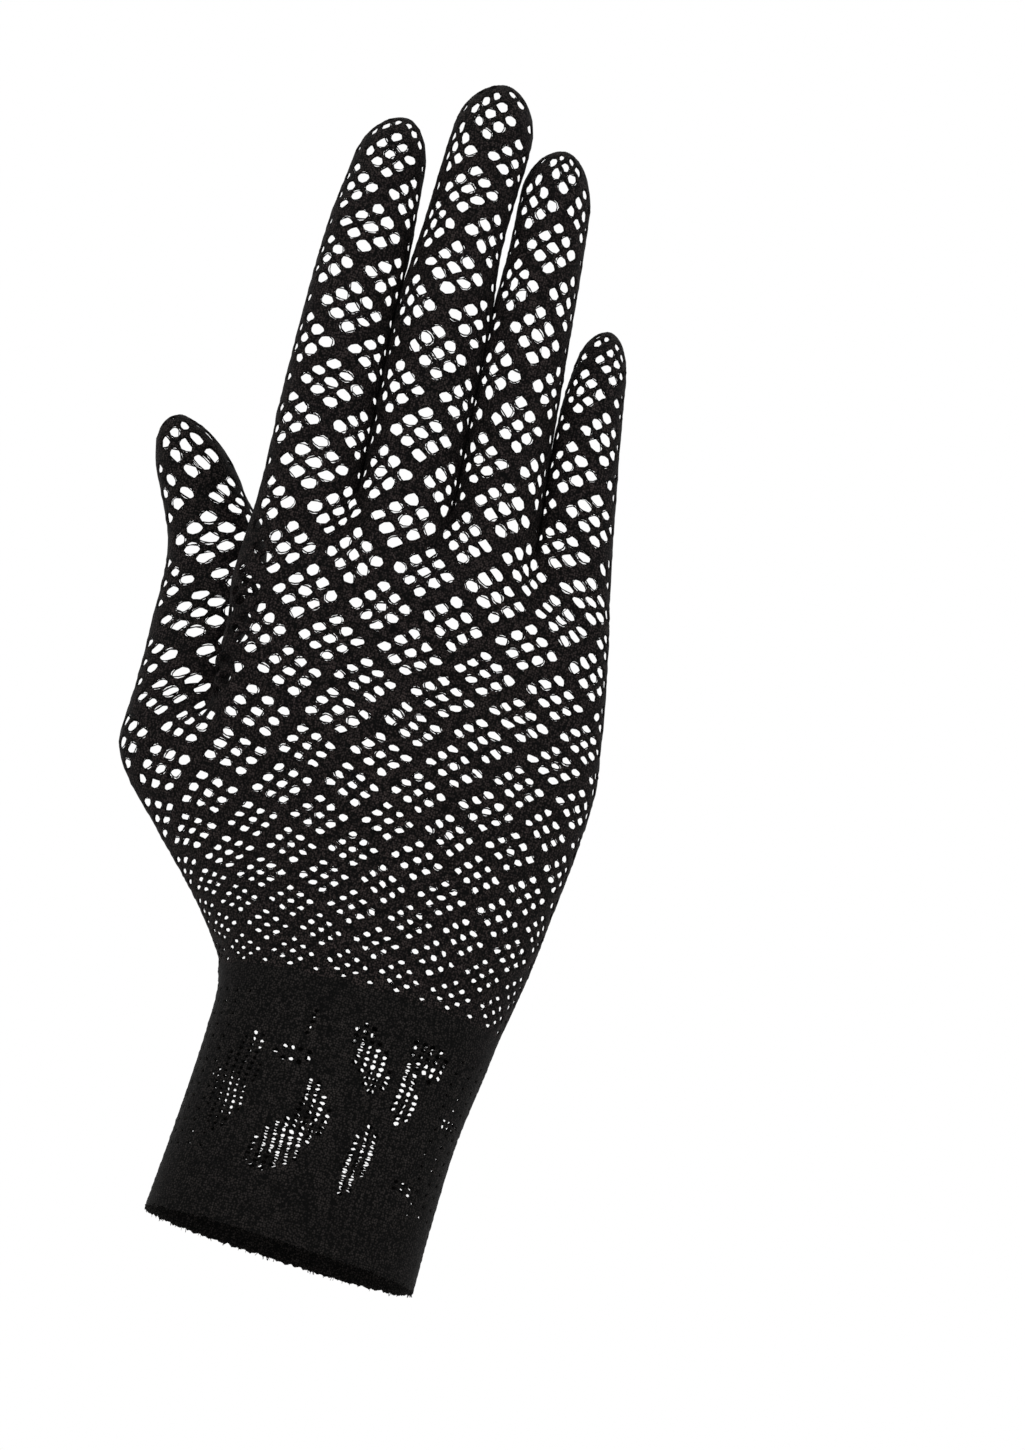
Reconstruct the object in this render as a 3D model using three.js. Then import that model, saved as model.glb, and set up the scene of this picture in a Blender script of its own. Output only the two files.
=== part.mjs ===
// Jacquard glove, worn form, for the right hand, in millimetres.
// The glove stands with its fingers up (+Z). The back of the hand looks to -Y, the palm to +Y,
// and the little finger is on the +X side. The origin is the middle of the wrist opening.
//
// The fabric is one knitted grid of courses (rows, going up) and wales (columns, going round).
// Every wall is a sheet of that grid, laid on the hand's shape and then given its thickness.

import * as THREE from 'three';

// Fabric
const WALL = 1.0;
const SEAM_GAP = 0.36;
const BLACK = 0x18171a;
const ROUGHNESS = 0.85;

// Knitted grid: wales are counted from the thumb edge, courses from the wrist band
const LAST_WALE = 43;
const HAND_TOP = 57;
const THUMB_FORK = 41;
const THUMB_EDGE = 8;
const FORKS = [17, 26, 35];

// Net: blocks of openings stand every 6 wales and 8 courses, and once more half way between.
// Its nodes are half a block apart, and one of them stays closed at each root and fork
const BLOCK_WALES = 3;
const BLOCK_COURSES = 4;
const FIRST_BLOCK_WALE = 1;
const FIRST_BLOCK_COURSE = 3;
const OPENING_SHARE = 0.7;
const NODES_BETWEEN_BLOCKS = 4;
const CLOSED_NODES = 1;

// Cuff heights
const HEM_HEIGHT = 11;
const LACE_TOP = 46;
const CUFF_FACETS = 12;
const HEM_STEPS = 1;
const LACE_STEPS = 2;
const BAND_STEPS = 1;

// Fineness of the fingers' round ends and of the palm layer
const ROUND_END_TURNS = [0, 32, 62, 90];
const ROUND_END_MARGIN = 0.8;
const PALM_CELLS = [3, 2, 2, 2, 3];
const FINGER_PALM_CELLS = [5];

// Room between a finger's root and the hand, in courses
const JOINT_COURSES = 0.11;

// Cuff sections: height, the two side edges, half depth
const CUFF = {
  columns: ['at', 'left', 'right', 'depth'],
  rows: [
    [0, -27.3, 27.2, 19.6],
    [12, -26.9, 26.6, 19.2],
    [30, -26.6, 26.3, 19.0],
    [42, -26.8, 27.2, 19.0],
    [46, -27.2, 27.6, 19.2],
  ],
};

// Whole hand with the ball of the thumb: course, side edges, their heights, half depth,
// middle line, and how far the thumb's side is carried towards the palm
const HAND = {
  columns: ['at', 'left', 'right', 'left_z', 'right_z', 'bow', 'depth', 'middle', 'thenar'],
  rows: [
    [0, -28.2, 28.0, 49.0, 52.3, 0, 19.0, 0.0, 0],
    [3, -29.0, 28.5, 51.4, 56.2, 0, 18.8, -0.5, 0.5],
    [11, -34.6, 29.8, 58.4, 67.5, 0, 18.0, -2.2, 3],
    [19, -40.6, 30.5, 64.4, 79.8, 0, 17.0, -4.2, 6],
    [27, -49.2, 31.2, 72.4, 92.5, 0, 16.2, -6.2, 9],
    [35, -60.4, 31.0, 84.5, 105.0, 0, 15.4, -8.2, 12],
    [41, -61.0, 29.1, 98.0, 114.5, 0, 14.8, -9.6, 14],
  ],
};

// Palm above the thumb: course, side edges, their heights, rise in the middle, half depth
const PALM = {
  columns: ['at', 'left', 'right', 'left_z', 'right_z', 'bow', 'depth', 'middle', 'thenar'],
  rows: [
    [33, -49.3, 31.4, 89.5, 101.8, 0, 13.8, -7.8, 0],
    [43, -49.4, 28.4, 109.5, 117.2, 0, 13.6, -10.2, 0],
    [51, -49.4, 24.9, 126.6, 130.6, 1.8, 13.0, -12.8, 0],
    [57, -49.5, 22.4, 140.0, 140.0, 5.5, 12.0, -14.6, 0],
  ],
};

// Fingers: first and last wale of one layer, wale of the blocks down its middle, first and last
// course, length of the round end in courses, place of the tip; then the sections by course:
// side edges, their heights, middle line, half depth
const FINGER_COLUMNS = ['at', 'left', 'right', 'left_z', 'right_z', 'middle', 'depth'];
const FINGERS = {
  thumb: {
    wales: [0, 9],
    net_wale: 4,
    first: THUMB_FORK + JOINT_COURSES,
    last: 66,
    round_end: 4.6,
    tip_x: -68.5,
    columns: FINGER_COLUMNS,
    rows: [
      [33, -61.2, -41.5, 82.0, 92.0, 4.0, 10.4],
      [41, -61.3, -42.0, 98.0, 107.0, 6.0, 9.6],
      [47, -62.2, -42.6, 110.2, 118.7, 7.2, 9.2],
      [55, -64.0, -45.7, 126.8, 133.3, 7.2, 8.8],
      [61, -70.5, -53.4, 139.6, 141.7, 5.6, 8.3],
      [66, -75.2, -58.0, 150.1, 150.1, 4.5, 8.0],
    ],
  },
  index_finger: {
    wales: [8, 18],
    net_wale: 13,
    first: HAND_TOP,
    last: 95,
    round_end: 4.2,
    tip_x: -44.8,
    columns: FINGER_COLUMNS,
    rows: [
      [49, -49.5, -31.2, 122.5, 126.5, -12.6, 11.0],
      [57, -49.6, -31.1, 140.0, 143.4, -14.6, 9.6],
      [65, -51.2, -32.2, 157.3, 158.0, -16.0, 9.0],
      [75, -52.5, -34.8, 177.3, 177.3, -17.0, 8.7],
      [83, -53.1, -36.8, 193.2, 193.2, -16.4, 8.2],
      [91, -52.4, -38.5, 209.2, 209.2, -14.2, 7.4],
      [95, -52.0, -38.9, 217.1, 217.1, -12.6, 7.0],
    ],
  },
  middle_finger: {
    wales: [16, 27],
    net_wale: 22,
    first: HAND_TOP,
    last: 98,
    round_end: 4.2,
    tip_x: -27.9,
    columns: FINGER_COLUMNS,
    rows: [
      [49, -31.2, -12.6, 126.5, 128.5, -12.6, 11.4],
      [57, -31.1, -12.4, 143.4, 145.6, -15.2, 10.0],
      [65, -32.9, -14.5, 161.2, 161.6, -17.0, 9.3],
      [75, -34.9, -16.9, 182.0, 182.0, -18.4, 9.0],
      [83, -35.6, -20.0, 198.5, 198.5, -17.8, 8.5],
      [93, -35.9, -20.4, 219.0, 219.0, -15.0, 7.8],
      [98, -35.6, -20.4, 229.3, 229.3, -13.4, 7.4],
    ],
  },
  ring_finger: {
    wales: [25, 36],
    net_wale: 31,
    first: HAND_TOP,
    last: 92,
    round_end: 4.2,
    tip_x: -13.0,
    columns: FINGER_COLUMNS,
    rows: [
      [49, -12.6, 6.2, 128.5, 127.0, -12.4, 11.0],
      [57, -12.4, 5.4, 145.6, 143.2, -14.8, 9.4],
      [65, -14.1, 2.7, 161.2, 160.8, -16.4, 8.8],
      [75, -16.6, -0.6, 183.0, 183.0, -17.4, 8.4],
      [83, -18.4, -3.2, 200.6, 200.6, -16.2, 7.9],
      [89, -19.0, -5.3, 213.9, 213.9, -13.6, 7.3],
      [92, -19.6, -6.2, 220.6, 220.6, -12.2, 7.0],
    ],
  },
  little_finger: {
    wales: [34, 43],
    net_wale: 40,
    first: HAND_TOP,
    last: 82,
    round_end: 4.0,
    tip_x: 6.2,
    columns: FINGER_COLUMNS,
    rows: [
      [49, 6.2, 26.2, 127.0, 126.0, -12.4, 10.0],
      [57, 5.4, 22.2, 143.2, 139.6, -13.4, 8.2],
      [65, 3.2, 17.8, 157.4, 156.6, -14.2, 7.6],
      [73, 1.5, 14.0, 172.6, 172.6, -13.8, 7.1],
      [79, 1.4, 11.6, 184.0, 184.0, -11.4, 6.4],
      [82, 1.0, 11.0, 189.5, 189.5, -9.6, 6.0],
    ],
  },
};

// Shape of the hand in a section
const HAND_SQUARENESS = 2.3;
const FINGER_SQUARENESS = 2;
const ROW_LIFT_POWER = 2.7;
const KNUCKLE_ARCH = 2.0;
const THENAR_FROM = 0.1;
const THENAR_SPREAD = 0.85;
const ARC_STEPS = 48;

// Forks between fingers: courses over which the hand's shape turns into the fingers'
const FORK_COURSES = 8;
const FORK_REACH_WALES = 2;
const THUMB_WEB = { x: -43.4, y: 1.2, half_depth: 2.0, rise_courses: 8, solid_nodes: 7 };
const THUMB_CLEARANCE = 2.4;

const material = () => new THREE.MeshStandardMaterial({
  color: BLACK,
  roughness: ROUGHNESS,
  metalness: 0,
});

const lerp = (a, b, t) => a + (b - a) * t;
const clamp = (t) => Math.min(1, Math.max(0, t));
const smooth = (t) => clamp(t) ** 2 * (3 - 2 * clamp(t));
const mix = (p, q, t) => p.map((value, axis) => lerp(value, q[axis], t));

// One row of a table at any key, on a smooth curve through the table's rows
function section(table, at) {
  const rows = table.rows;
  const last = rows.length - 1;
  const key = Math.min(rows[last][0], Math.max(rows[0][0], at));
  let low = 0;
  while (low < last - 1 && rows[low + 1][0] < key) low += 1;
  const span = rows[low + 1][0] - rows[low][0];
  const t = (key - rows[low][0]) / span;
  const slope = (row, column) => {
    const before = rows[Math.max(0, row - 1)];
    const after = rows[Math.min(last, row + 1)];
    return (after[column] - before[column]) / (after[0] - before[0]);
  };
  const found = {};
  table.columns.forEach((name, column) => {
    const a = rows[low][column];
    const b = rows[low + 1][column];
    const rise_a = slope(low, column) * span;
    const rise_b = slope(low + 1, column) * span;
    const bend = (2 * (a - b) + rise_a + rise_b) * t ** 3;
    const ease = (3 * (b - a) - 2 * rise_a - rise_b) * t ** 2;
    found[name] = bend + ease + rise_a * t + a;
  });
  return found;
}

// Point of one half of a rounded section, at a share of its length from the left edge
function halfLoop(half_width, half_depth, squareness, share) {
  const at = (step) => {
    const turn = Math.PI * step / ARC_STEPS;
    const across = Math.cos(turn);
    const out = Math.sin(turn);
    return [
      -half_width * Math.sign(across) * Math.abs(across) ** (2 / squareness),
      half_depth * Math.abs(out) ** (2 / squareness),
    ];
  };
  if (share <= 0) return at(0);
  if (share >= 1) return at(ARC_STEPS);
  const points = Array.from({ length: ARC_STEPS + 1 }, (_, step) => at(step));
  const length = [0];
  for (let step = 1; step <= ARC_STEPS; step += 1) {
    const [x, y] = points[step];
    const [x0, y0] = points[step - 1];
    length.push(length[step - 1] + Math.hypot(x - x0, y - y0));
  }
  const wanted = share * length[ARC_STEPS];
  let step = 1;
  while (length[step] < wanted) step += 1;
  const t = (wanted - length[step - 1]) / (length[step] - length[step - 1]);
  return mix(points[step - 1], points[step], t);
}

// side is -1 for the back of the hand and +1 for the palm
function cuffPoint(side, share, height) {
  const s = section(CUFF, height);
  const half = (s.right - s.left - WALL) / 2;
  const [x, y] = halfLoop(half, s.depth - WALL / 2, HAND_SQUARENESS, share);
  return [x + (s.left + s.right) / 2, side * y, height];
}

function broadPoint(table, first_wale, side, wale, course) {
  const s = section(table, course);
  const share = (wale - first_wale) / (LAST_WALE - first_wale);
  const half = (s.right - s.left - WALL) / 2;
  const [x, y] = halfLoop(half, s.depth - WALL / 2, HAND_SQUARENESS, share);
  const across = x / half;
  const towards_thumb = smooth((-across - THENAR_FROM) / THENAR_SPREAD);
  const lift = 1 - (1 - share) ** ROW_LIFT_POWER;
  return [
    x + (s.left + s.right) / 2,
    s.middle + KNUCKLE_ARCH * across ** 2 + s.thenar * towards_thumb + side * y,
    lerp(s.left_z, s.right_z, lift) + s.bow * Math.sin(Math.PI * share),
  ];
}

function fingerPoint(finger, side, wale, course) {
  const s = section(finger, course);
  const [first, last] = finger.wales;
  const share = (wale - first) / (last - first);
  const round_start = finger.last - finger.round_end;
  const along = clamp((course - round_start) / finger.round_end);
  const narrowing = Math.sqrt(Math.max(0, 1 - along ** 2));
  const half = (s.right - s.left - WALL - SEAM_GAP) / 2;
  const [x, y] = halfLoop(half, s.depth - WALL / 2, FINGER_SQUARENESS, share);
  const slant = (s.right_z - s.left_z) / 2 * x / half;
  return [
    lerp(finger.tip_x, (s.left + s.right) / 2, narrowing) + x * narrowing,
    s.middle + side * y * narrowing,
    (s.left_z + s.right_z) / 2 + slant * narrowing - WALL / 2 * along,
  ];
}

// Moves the wales beside a fork to the point that both neighbours share
function pulled(point, edge, target, wales_away) {
  const share = smooth(1 - Math.abs(wales_away) / FORK_REACH_WALES);
  return point.map((value, axis) => value + (target[axis] - edge[axis]) * share);
}

function thumbWeb(side, course) {
  const z = broadPoint(PALM, THUMB_EDGE, side, THUMB_EDGE, course)[2];
  return [THUMB_WEB.x, THUMB_WEB.y + side * THUMB_WEB.half_depth, z];
}

// The hand split in thumb and palm, as it is at the thumb's fork
function splitPoint(side, wale, course) {
  const web = thumbWeb(side, course);
  const away = wale - THUMB_EDGE;
  if (wale < THUMB_EDGE) {
    const edge = fingerPoint(FINGERS.thumb, side, THUMB_EDGE, course);
    return pulled(fingerPoint(FINGERS.thumb, side, wale, course), edge, web, away);
  }
  const edge = broadPoint(PALM, THUMB_EDGE, side, THUMB_EDGE, course);
  return pulled(broadPoint(PALM, THUMB_EDGE, side, wale, course), edge, web, away);
}

// The palm above the thumb's fork: its edge swings from the web out to the side of the hand
function palmPoint(side, wale, course) {
  const point = broadPoint(PALM, THUMB_EDGE, side, wale, course);
  const edge = broadPoint(PALM, THUMB_EDGE, side, THUMB_EDGE, THUMB_FORK);
  const rise = smooth(1 - (course - THUMB_FORK) / THUMB_WEB.rise_courses);
  const depth = course > THUMB_FORK ? 0 : side * THUMB_WEB.half_depth;
  const web = [THUMB_WEB.x, THUMB_WEB.y + depth, edge[2]];
  const target = mix(edge, web, rise);
  return pulled(point, edge, target, wale - THUMB_EDGE);
}

// The top of the hand as the fingers' roots
function rootPoint(side, wale, course) {
  const names = ['index_finger', 'middle_finger', 'ring_finger', 'little_finger'];
  const place = FORKS.filter((fork) => wale > fork).length;
  let point = fingerPoint(FINGERS[names[place]], side, wale, course);
  for (const [number, fork] of FORKS.entries()) {
    const own = place <= number ? number : number + 1;
    if (place !== own || Math.abs(wale - fork) > FORK_REACH_WALES) continue;
    const left = fingerPoint(FINGERS[names[number]], side, fork, course);
    const right = fingerPoint(FINGERS[names[number + 1]], side, fork, course);
    const edge = place === number ? left : right;
    point = pulled(point, edge, mix(left, right, 0.5), wale - fork);
  }
  return point;
}

function handPoint(side, wale, course) {
  if (course <= THUMB_FORK) {
    const whole = broadPoint(HAND, 0, side, wale, course);
    const turn = smooth((course - THUMB_FORK + FORK_COURSES) / FORK_COURSES);
    return turn > 0 ? mix(whole, splitPoint(side, wale, course), turn) : whole;
  }
  const palm = palmPoint(side, wale, course);
  const turn = smooth((course - HAND_TOP + FORK_COURSES) / FORK_COURSES);
  return turn > 0 ? mix(palm, rootPoint(side, wale, course), turn) : palm;
}

// The thumb's root makes room for the palm's edge beside it; both layers meet at its last wale
function thumbPoint(side, wale, course) {
  const rise = smooth(1 - (course - THUMB_FORK) / THUMB_WEB.rise_courses);
  const shift = (layer) => {
    const edge = fingerPoint(FINGERS.thumb, layer, THUMB_EDGE, THUMB_FORK);
    const web = thumbWeb(layer, THUMB_FORK);
    web[0] -= THUMB_CLEARANCE;
    return mix([0, 0, 0], web.map((value, axis) => value - edge[axis]), rise);
  };
  const beyond = Math.max(0, wale - THUMB_EDGE);
  const away = Math.max(0, THUMB_EDGE - wale);
  const drawn = mix(shift(side), shift(-side), beyond / 2);
  return pulled(fingerPoint(FINGERS.thumb, side, wale, course), [0, 0, 0], drawn, away);
}

// A sheet of fabric: faces on its middle surface, given a thickness at the end
const PLACES_PER_MM = 1000;

class Sheet {
  constructor() {
    this.points = [];
    this.places = new Map();
    this.faces = [];
  }

  add(point) {
    const key = point.map((value) => Math.round(value * PLACES_PER_MM)).join(' ');
    if (!this.places.has(key)) {
      this.places.set(key, this.points.length);
      this.points.push(new THREE.Vector3(...point));
    }
    return this.places.get(key);
  }

  face(corners) {
    const ids = corners.map((point) => this.add(point));
    const unique = ids.filter((id, place) => id !== ids[(place + 1) % ids.length]);
    for (let corner = 1; corner + 1 < unique.length; corner += 1) {
      this.faces.push([unique[0], unique[corner], unique[corner + 1]]);
    }
  }

  thickened() {
    const normals = this.points.map(() => new THREE.Vector3());
    const edges = new Map();
    for (const [a, b, c] of this.faces) {
      const [p, q, r] = [a, b, c].map((id) => this.points[id]);
      const normal = q.clone().sub(p).cross(r.clone().sub(p));
      for (const id of [a, b, c]) normals[id].add(normal);
      for (const [from, to] of [[a, b], [b, c], [c, a]]) {
        if (!edges.delete(`${to} ${from}`)) edges.set(`${from} ${to}`, [from, to]);
      }
    }
    const count = this.points.length;
    const vertices = [];
    for (const offset of [WALL / 2, -WALL / 2]) {
      this.points.forEach((point, id) => {
        const out = normals[id].clone().normalize().multiplyScalar(offset);
        vertices.push(...point.clone().add(out).toArray());
      });
    }
    const triangles = [];
    for (const [a, b, c] of this.faces) {
      triangles.push(a, b, c, count + a, count + c, count + b);
    }
    for (const [a, b] of edges.values()) {
      triangles.push(a, count + a, count + b, a, count + b, b);
    }
    const geometry = new THREE.BufferGeometry();
    geometry.setAttribute('position', new THREE.Float32BufferAttribute(vertices, 3));
    geometry.setIndex(triangles);
    geometry.computeVertexNormals();
    return geometry;
  }

  mesh(name) {
    const made = new THREE.Mesh(this.thickened(), material());
    made.name = name;
    return made;
  }
}

// Nodes that the net's diamonds need, half a block apart, moved onto a fork or edge beside them
const HALF_WALES = BLOCK_WALES / 2;
const HALF_COURSES = BLOCK_COURSES / 2;
const NODE_SNAP = 0.51;

function nodes(first, last, origin, step, fixed) {
  const from = Math.round((first - origin) / step);
  const to = Math.round((last - origin) / step);
  const found = [];
  for (let number = from; number <= to; number += 1) {
    let at = origin + number * step;
    const near = fixed.find((place) => Math.abs(place - at) <= NODE_SNAP);
    if (near !== undefined) at = near;
    if (number === from) at = first;
    if (number === to) at = last;
    found.push({ number, at });
  }
  return found;
}

const waleNodes = (first, last) => (
  nodes(first, last, FIRST_BLOCK_WALE, HALF_WALES, [THUMB_EDGE, ...FORKS])
);
const courseNodes = (first, last) => (
  nodes(first, last, FIRST_BLOCK_COURSE, HALF_COURSES, [])
);
const evenly = (count) => Array.from({ length: count + 1 }, (_, place) => place / count);

// A course list that ends in a finger's round end
function fingerCourses(finger) {
  const start = finger.last - finger.round_end;
  const lattice_end = FIRST_BLOCK_COURSE
    + HALF_COURSES * Math.floor((start - ROUND_END_MARGIN - FIRST_BLOCK_COURSE) / HALF_COURSES);
  const straight = courseNodes(finger.first + JOINT_COURSES, lattice_end);
  const rounded = ROUND_END_TURNS.map((degrees) => ({
    number: NaN,
    at: start + finger.round_end * Math.sin(THREE.MathUtils.degToRad(degrees)),
  }));
  return [...straight, ...rounded];
}

// The parts of one field between four nodes that are left when the open blocks are cut out
function fieldParts(corners, isOpen) {
  const even = corners.findIndex((node) => node.wale % 2 === 0 && node.course % 2 === 0);
  if (even < 0) return [corners];
  const [e, a, o, b] = [0, 1, 2, 3].map((turn) => corners[(even + turn) % 4]);
  const between = (p, q) => ({ at: mix(p.at, q.at, 2 * OPENING_SHARE - 1) });
  const onBlock = (wale, course) => (wale + course) % NODES_BETWEEN_BLOCKS === 0;
  const block = (wale, course) => onBlock(wale, course) && isOpen(wale, course);
  if (onBlock(e.wale, e.course)) {
    return block(e.wale, e.course) ? [[between(a, o), o, between(b, o)]] : [corners];
  }
  const opposite = (x) => block(2 * x.wale - e.wale, 2 * x.course - e.course);
  return [
    opposite(a) ? [e, between(a, e), between(a, o), o] : [e, a, o],
    opposite(b) ? [e, o, between(b, o), between(b, e)] : [e, o, b],
  ];
}

// Adds the fields of one layer between lists of wale and course nodes, facing out
function addFields(sheet, place, side, wales, courses, isOpen) {
  for (let row = 0; row + 1 < courses.length; row += 1) {
    for (let column = 0; column + 1 < wales.length; column += 1) {
      const node = (i, j) => ({
        wale: wales[column + i].number,
        course: courses[row + j].number,
        at: [wales[column + i].at, courses[row + j].at],
      });
      const corners = [node(0, 0), node(1, 0), node(1, 1), node(0, 1)];
      for (const part of fieldParts(corners, isOpen)) {
        const points = part.map(({ at }) => place(side, at[0], at[1]));
        sheet.face(side < 0 ? points : points.reverse());
      }
    }
  }
}

const closed = () => false;
const BACK = -1;
const PALM_SIDE = 1;

// Palm layer: fewer wale nodes, with the forks among them
function palmNodes(forks, cells) {
  const found = [{ number: NaN, at: forks[0] }];
  cells.forEach((count, part) => {
    for (const share of evenly(count).slice(1)) {
      found.push({ number: NaN, at: lerp(forks[part], forks[part + 1], share) });
    }
  });
  return found;
}

function finger(name) {
  const shape = FINGERS[name];
  const place = name === 'thumb'
    ? thumbPoint
    : (side, wale, course) => fingerPoint(shape, side, wale, course);
  const wales = waleNodes(...shape.wales);
  const courses = fingerCourses(shape);
  const middle = Math.round((shape.net_wale - FIRST_BLOCK_WALE) / HALF_WALES);
  const highest = courses[courses.length - ROUND_END_TURNS.length - 1].number;
  const open = (wale, course) => wale === middle
    && course > courses[0].number + CLOSED_NODES && course <= highest;
  const sheet = new Sheet();
  addFields(sheet, place, BACK, wales, courses, open);
  addFields(sheet, place, PALM_SIDE, palmNodes(shape.wales, FINGER_PALM_CELLS), courses, closed);
  return sheet.mesh(name);
}

function handNet() {
  const sheet = new Sheet();
  const lower = courseNodes(0, THUMB_FORK);
  const upper = courseNodes(THUMB_FORK, HAND_TOP - JOINT_COURSES);
  const seam = Math.round((LAST_WALE - FIRST_BLOCK_WALE) / HALF_WALES);
  const fork = Math.round((THUMB_FORK - FIRST_BLOCK_COURSE) / HALF_COURSES);
  const top = upper[upper.length - 1].number;
  const open = (wale, course) => wale > 0 && wale < seam
    && course >= 0 && course < top - CLOSED_NODES
    && (wale >= THUMB_WEB.solid_nodes || course < fork - 2 * CLOSED_NODES);
  const edges = [THUMB_EDGE, ...FORKS, LAST_WALE];
  addFields(sheet, handPoint, BACK, waleNodes(0, LAST_WALE), lower, open);
  addFields(sheet, handPoint, BACK, waleNodes(THUMB_EDGE, LAST_WALE), upper, open);
  addFields(sheet, handPoint, PALM_SIDE, palmNodes([0, ...edges], PALM_CELLS), lower, closed);
  addFields(sheet, handPoint, PALM_SIDE, palmNodes(edges, PALM_CELLS.slice(1)), upper, closed);
  sheet.face([
    handPoint(BACK, THUMB_EDGE, THUMB_FORK),
    handPoint(BACK, THUMB_EDGE, upper[1].at),
    handPoint(PALM_SIDE, THUMB_EDGE, THUMB_FORK),
  ]);
  return sheet.mesh('hand_net');
}

// A ring of plain fabric between two heights or loops
function ring(name, place, steps) {
  const sheet = new Sheet();
  const wales = evenly(CUFF_FACETS).map((at) => ({ number: NaN, at }));
  const courses = evenly(steps).map((at) => ({ number: NaN, at }));
  addFields(sheet, place, BACK, wales, courses, closed);
  addFields(sheet, place, PALM_SIDE, wales, courses, closed);
  return sheet.mesh(name);
}

const cutHem = () => ring('cut_hem', (side, share, up) => (
  cuffPoint(side, share, up * HEM_HEIGHT)
), HEM_STEPS);

const laceCuff = () => ring('lace_cuff', (side, share, up) => (
  cuffPoint(side, share, lerp(HEM_HEIGHT + SEAM_GAP, LACE_TOP, up))
), LACE_STEPS);

const wristBand = () => ring('wrist_band', (side, share, up) => {
  const low = cuffPoint(side, share, LACE_TOP + SEAM_GAP);
  const high = broadPoint(HAND, 0, side, share * LAST_WALE, 0);
  high[2] -= SEAM_GAP;
  return mix(low, high, up);
}, BAND_STEPS);

const glove = new THREE.Group();
glove.add(cutHem(), laceCuff(), wristBand(), handNet());
for (const name of Object.keys(FINGERS)) glove.add(finger(name));

export default glove;
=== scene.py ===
"""Looks of the jacquard glove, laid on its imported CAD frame, in Blender 4.5.

The whole glove is one knitted tube. Its courses (rows, going up) and wales (columns, going
round) are one cage of faces, which is pierced where the jacquard opens the knit, given the
thickness of the fabric, rounded, and then divided into the same pieces as the CAD nodes.
"""

import logging
import math
from bisect import bisect_left
from collections.abc import Callable
from dataclasses import dataclass, field
from enum import Enum
from functools import lru_cache
from random import Random

import bmesh
import bpy
import numpy as np
from mathutils import Matrix, Vector


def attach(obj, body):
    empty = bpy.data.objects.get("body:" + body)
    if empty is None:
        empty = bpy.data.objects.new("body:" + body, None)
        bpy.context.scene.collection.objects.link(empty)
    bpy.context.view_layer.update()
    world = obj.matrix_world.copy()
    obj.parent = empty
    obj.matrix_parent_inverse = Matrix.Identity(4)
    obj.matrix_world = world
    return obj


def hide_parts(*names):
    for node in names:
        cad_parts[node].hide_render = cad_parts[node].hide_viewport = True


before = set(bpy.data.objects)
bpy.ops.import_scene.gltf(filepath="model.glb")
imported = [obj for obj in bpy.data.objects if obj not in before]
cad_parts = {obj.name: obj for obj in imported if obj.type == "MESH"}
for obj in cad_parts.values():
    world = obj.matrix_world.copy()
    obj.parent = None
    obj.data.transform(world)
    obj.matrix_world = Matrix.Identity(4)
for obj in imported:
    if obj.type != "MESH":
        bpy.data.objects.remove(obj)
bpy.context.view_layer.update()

log = logging.getLogger("jacquard_glove")

MM = 0.001
# The chart: wales of one layer, and courses counted from the wrist band
LAST_WALE = 43
HAND_TOP = 57
LOWER_TOP = 27
THUMB_FORK = 41
THUMB_EDGE = 8
FORKS = (17, 26, 35)
# Wales and courses over which the form passes from the hand to thumb and fingers
FORK_REACH = 2.0
FORK_COURSES = 8.0
# The cuff: its rows, and heights above the cut edge in millimetres
CUFF_ROWS = 38
BAND_ROWS = 5
LACE_TOP = 46.0
HEM_HEIGHT = 11.0
# Where the studio's camera stands, in millimetres: the two layers line up from there
CAMERA_PLACE = Vector((11.6, -1985.4, -201.9))


class Layer(Enum):
    """The two layers of the worn glove, by the direction in which they face along Y."""

    BACK_OF_HAND = -1
    PALM = 1


class Region(Enum):
    """The parts of the glove, in the order of their slots on the knitted cage."""

    HEM = 0
    LACE = 1
    BAND = 2
    LOWER_HAND = 3
    UPPER_HAND = 4
    THUMB = 5
    INDEX = 6
    MIDDLE = 7
    RING = 8
    LITTLE = 9


def ease(share: float) -> float:
    """Smooth step from 0 to 1 as share goes from 0 to 1."""
    share = min(1.0, max(0.0, share))
    return share * share * (3.0 - 2.0 * share)


def scatter(*keys: float) -> float:
    """Gives a fixed value that looks random.

    Args:
        keys: Numbers that tell one draw from another.

    Returns:
        A value between 0 and 1, the same for the same keys.
    """
    first_turn, growth, step, gain = 12.9898, 1.618, 3.17, 43758.5453
    turn = first_turn
    total = 0.0
    for key in keys:
        total += key * turn
        turn = turn * growth + step
    value = math.sin(total) * gain
    return value - math.floor(value)


def stitch_behind(point: Vector, depth: float) -> Vector:
    """Point that a sight line through another meets deeper in, seen from the camera's place.

    Args:
        point: Point of one layer, in millimetres.
        depth: How much deeper along Y the other layer lies.

    Returns:
        The point of the other layer.
    """
    sight = point - CAMERA_PLACE
    return point + sight * (depth / sight.y)


@lru_cache
def rounded_half(power: float, steps: int = 36) -> tuple[tuple[float, float], ...]:
    """Draws half of a rounded section of unit size.

    Args:
        power: Squareness of the section, 2 for an ellipse.
        steps: Number of straight steps along it.

    Returns:
        Its points across and outwards, from its left edge to its right edge.
    """
    points = []
    for step in range(steps + 1):
        turn = math.pi * step / steps
        across, out = math.cos(turn), math.sin(turn)
        x = -math.copysign(abs(across) ** (2 / power), across)
        points.append((x, abs(out) ** (2 / power)))
    return tuple(points)


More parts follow.
